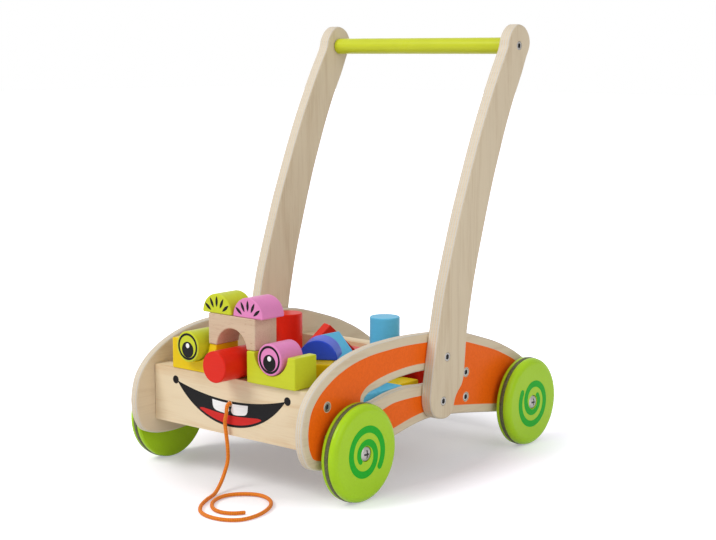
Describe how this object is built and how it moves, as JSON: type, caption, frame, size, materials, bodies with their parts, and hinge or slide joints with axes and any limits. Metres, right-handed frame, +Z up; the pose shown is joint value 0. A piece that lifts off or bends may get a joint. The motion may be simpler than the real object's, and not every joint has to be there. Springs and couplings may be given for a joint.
{
  "type": "baby push walker",
  "caption": "Wooden push walker cart on wheels with an upright handle, a pull cord and a tray of coloured building blocks, some of them set up as a face.",
  "frame": {"origin": "on the floor under the middle of the cart's box, without the cord", "axes": "+Z up, -Y forwards (the face looks that way), +X to the right as seen by someone facing the face; the handle rises to its highest point towards +Y"},
  "size_m": [0.3026, 0.5018, 0.4832],
  "materials": {
    "plywood": "sanded birch plywood under clear lacquer; the outer faces of the side panels carry an orange painted field",
    "pine": "solid pine under clear lacquer; the front board carries a printed smile",
    "beech": "solid beech, unpainted",
    "steel": "zinc-plated steel",
    "rubber": "dark rubber ring",
    "cord": "braided orange cord",
    "lacquer_green": "satin green lacquer on wood, with a darker printed spiral on the outer face",
    "lacquer_bar": "satin yellow-green lacquer on wood",
    "lacquer_lime": "satin lime lacquer on wood",
    "lacquer_yellow": "satin yellow lacquer on wood",
    "lacquer_red": "satin red lacquer on wood",
    "lacquer_pink": "satin pink lacquer on wood",
    "lacquer_sky": "satin light blue lacquer on wood",
    "lacquer_blue": "satin dark blue lacquer on wood"
  },
  "bodies": {
    "cart": {"side_panel_left": "plywood", "handle_post_left": "plywood", "post_bolt_left_upper": "steel", "post_bolt_left_lower": "steel", "bar_screw_left": "steel", "side_panel_right": "plywood", "handle_post_right": "plywood", "post_bolt_right_upper": "steel", "post_bolt_right_lower": "steel", "bar_screw_right": "steel", "handle_bar": "lacquer_bar", "front_board": "pine", "front_board_screw_left_upper": "steel", "front_board_screw_left_lower": "steel", "front_board_screw_right_upper": "steel", "front_board_screw_right_lower": "steel", "rear_board": "pine", "rear_board_screw_left_upper": "steel", "rear_board_screw_left_lower": "steel", "rear_board_screw_right_upper": "steel", "rear_board_screw_right_lower": "steel", "tray_floor": "plywood", "front_axle": "steel", "front_spacer_left": "beech", "front_hub_screw_left": "steel", "front_spacer_right": "beech", "front_hub_screw_right": "steel", "rear_axle": "steel", "rear_spacer_left": "beech", "rear_hub_screw_left": "steel", "rear_spacer_right": "beech", "rear_hub_screw_right": "steel", "pull_cord": "cord"},
    "front_wheel_left": {"front_wheel_left": "lacquer_green", "front_tyre_left": "rubber"},
    "front_wheel_right": {"front_wheel_right": "lacquer_green", "front_tyre_right": "rubber"},
    "rear_wheel_left": {"rear_wheel_left": "lacquer_green", "rear_tyre_left": "rubber"},
    "rear_wheel_right": {"rear_wheel_right": "lacquer_green", "rear_tyre_right": "rubber"},
    "cradle_block_left": {"cradle_block_left": "lacquer_yellow"},
    "cradle_block_right": {"cradle_block_right": "lacquer_lime"},
    "eye_block_left": {"eye_block_left": "lacquer_lime"},
    "eye_block_right": {"eye_block_right": "lacquer_pink"},
    "half_round_left": {"half_round_left": "lacquer_lime"},
    "half_round_right": {"half_round_right": "lacquer_pink"},
    "nose_block": {"nose_block": "lacquer_red"},
    "bridge_block": {"bridge_block": "beech"},
    "tall_block_yellow": {"tall_block_yellow": "lacquer_yellow"},
    "half_round_blue": {"half_round_blue": "lacquer_blue"},
    "cube_natural": {"cube_natural": "beech"},
    "roof_block_blue": {"roof_block_blue": "lacquer_sky"},
    "long_block_red": {"long_block_red": "lacquer_red"},
    "roof_block_red": {"roof_block_red": "lacquer_red"},
    "pillar_block_red": {"pillar_block_red": "lacquer_red"},
    "plank_yellow": {"plank_yellow": "lacquer_yellow"},
    "pillar_block_blue": {"pillar_block_blue": "lacquer_sky"},
    "plank_blue": {"plank_blue": "lacquer_sky"},
    "cube_red": {"cube_red": "lacquer_red"}
  },
  "joints": [
    {"name": "front_wheel_left_spin", "type": "hinge", "parent": "cart", "child": "front_wheel_left", "pos_m": [-0.14125, -0.1455, 0.05075], "axis": [1, 0, 0], "continuous": true},
    {"name": "front_wheel_right_spin", "type": "hinge", "parent": "cart", "child": "front_wheel_right", "pos_m": [0.14125, -0.1455, 0.05075], "axis": [1, 0, 0], "continuous": true},
    {"name": "rear_wheel_left_spin", "type": "hinge", "parent": "cart", "child": "rear_wheel_left", "pos_m": [-0.14125, 0.1575, 0.05075], "axis": [1, 0, 0], "continuous": true},
    {"name": "rear_wheel_right_spin", "type": "hinge", "parent": "cart", "child": "rear_wheel_right", "pos_m": [0.14125, 0.1575, 0.05075], "axis": [1, 0, 0], "continuous": true},
    {"name": "bridge_block_lift", "type": "slide", "parent": "cart", "child": "bridge_block", "axis": [0, 0, 1], "range_m": [0, 0.06]},
    {"name": "half_round_left_lift", "type": "slide", "parent": "bridge_block", "child": "half_round_left", "axis": [0, 0, 1], "range_m": [0, 0.03]},
    {"name": "half_round_right_lift", "type": "slide", "parent": "bridge_block", "child": "half_round_right", "axis": [0, 0, 1], "range_m": [0, 0.03]},
    {"name": "nose_block_pull", "type": "slide", "parent": "cart", "child": "nose_block", "axis": [0, -1, 0], "range_m": [0, 0.07]},
    {"name": "cradle_block_left_pull", "type": "slide", "parent": "cart", "child": "cradle_block_left", "axis": [0, -1, 0], "range_m": [0, 0.04]},
    {"name": "eye_block_left_pull", "type": "slide", "parent": "cradle_block_left", "child": "eye_block_left", "axis": [0, -1, 0], "range_m": [0, 0.035]},
    {"name": "cradle_block_right_pull", "type": "slide", "parent": "cart", "child": "cradle_block_right", "axis": [0, -1, 0], "range_m": [0, 0.04]},
    {"name": "eye_block_right_pull", "type": "slide", "parent": "cradle_block_right", "child": "eye_block_right", "axis": [0, -1, 0], "range_m": [0, 0.035]},
    {"name": "tall_block_yellow_lift", "type": "slide", "parent": "cart", "child": "tall_block_yellow", "axis": [0, 0, 1], "range_m": [0, 0.08]},
    {"name": "half_round_blue_lift", "type": "slide", "parent": "tall_block_yellow", "child": "half_round_blue", "axis": [0, 0, 1], "range_m": [0, 0.04]},
    {"name": "cube_natural_lift", "type": "slide", "parent": "cart", "child": "cube_natural", "axis": [0, 0, 1], "range_m": [0, 0.08]},
    {"name": "roof_block_blue_lift", "type": "slide", "parent": "cube_natural", "child": "roof_block_blue", "axis": [0, 0, 1], "range_m": [0, 0.04]},
    {"name": "long_block_red_lift", "type": "slide", "parent": "cart", "child": "long_block_red", "axis": [0, 0, 1], "range_m": [0, 0.08]},
    {"name": "roof_block_red_lift", "type": "slide", "parent": "long_block_red", "child": "roof_block_red", "axis": [0, 0, 1], "range_m": [0, 0.04]},
    {"name": "plank_yellow_lift", "type": "slide", "parent": "cart", "child": "plank_yellow", "axis": [0, 0, 1], "range_m": [0, 0.08]},
    {"name": "pillar_block_blue_lift", "type": "slide", "parent": "plank_yellow", "child": "pillar_block_blue", "axis": [0, 0, 1], "range_m": [0, 0.04]},
    {"name": "pillar_block_red_lift", "type": "slide", "parent": "cart", "child": "pillar_block_red", "axis": [0, 0, 1], "range_m": [0, 0.08]},
    {"name": "plank_blue_lift", "type": "slide", "parent": "cart", "child": "plank_blue", "axis": [0, 0, 1], "range_m": [0, 0.08]},
    {"name": "cube_red_lift", "type": "slide", "parent": "cart", "child": "cube_red", "axis": [0, 0, 1], "range_m": [0, 0.08]}
  ]
}
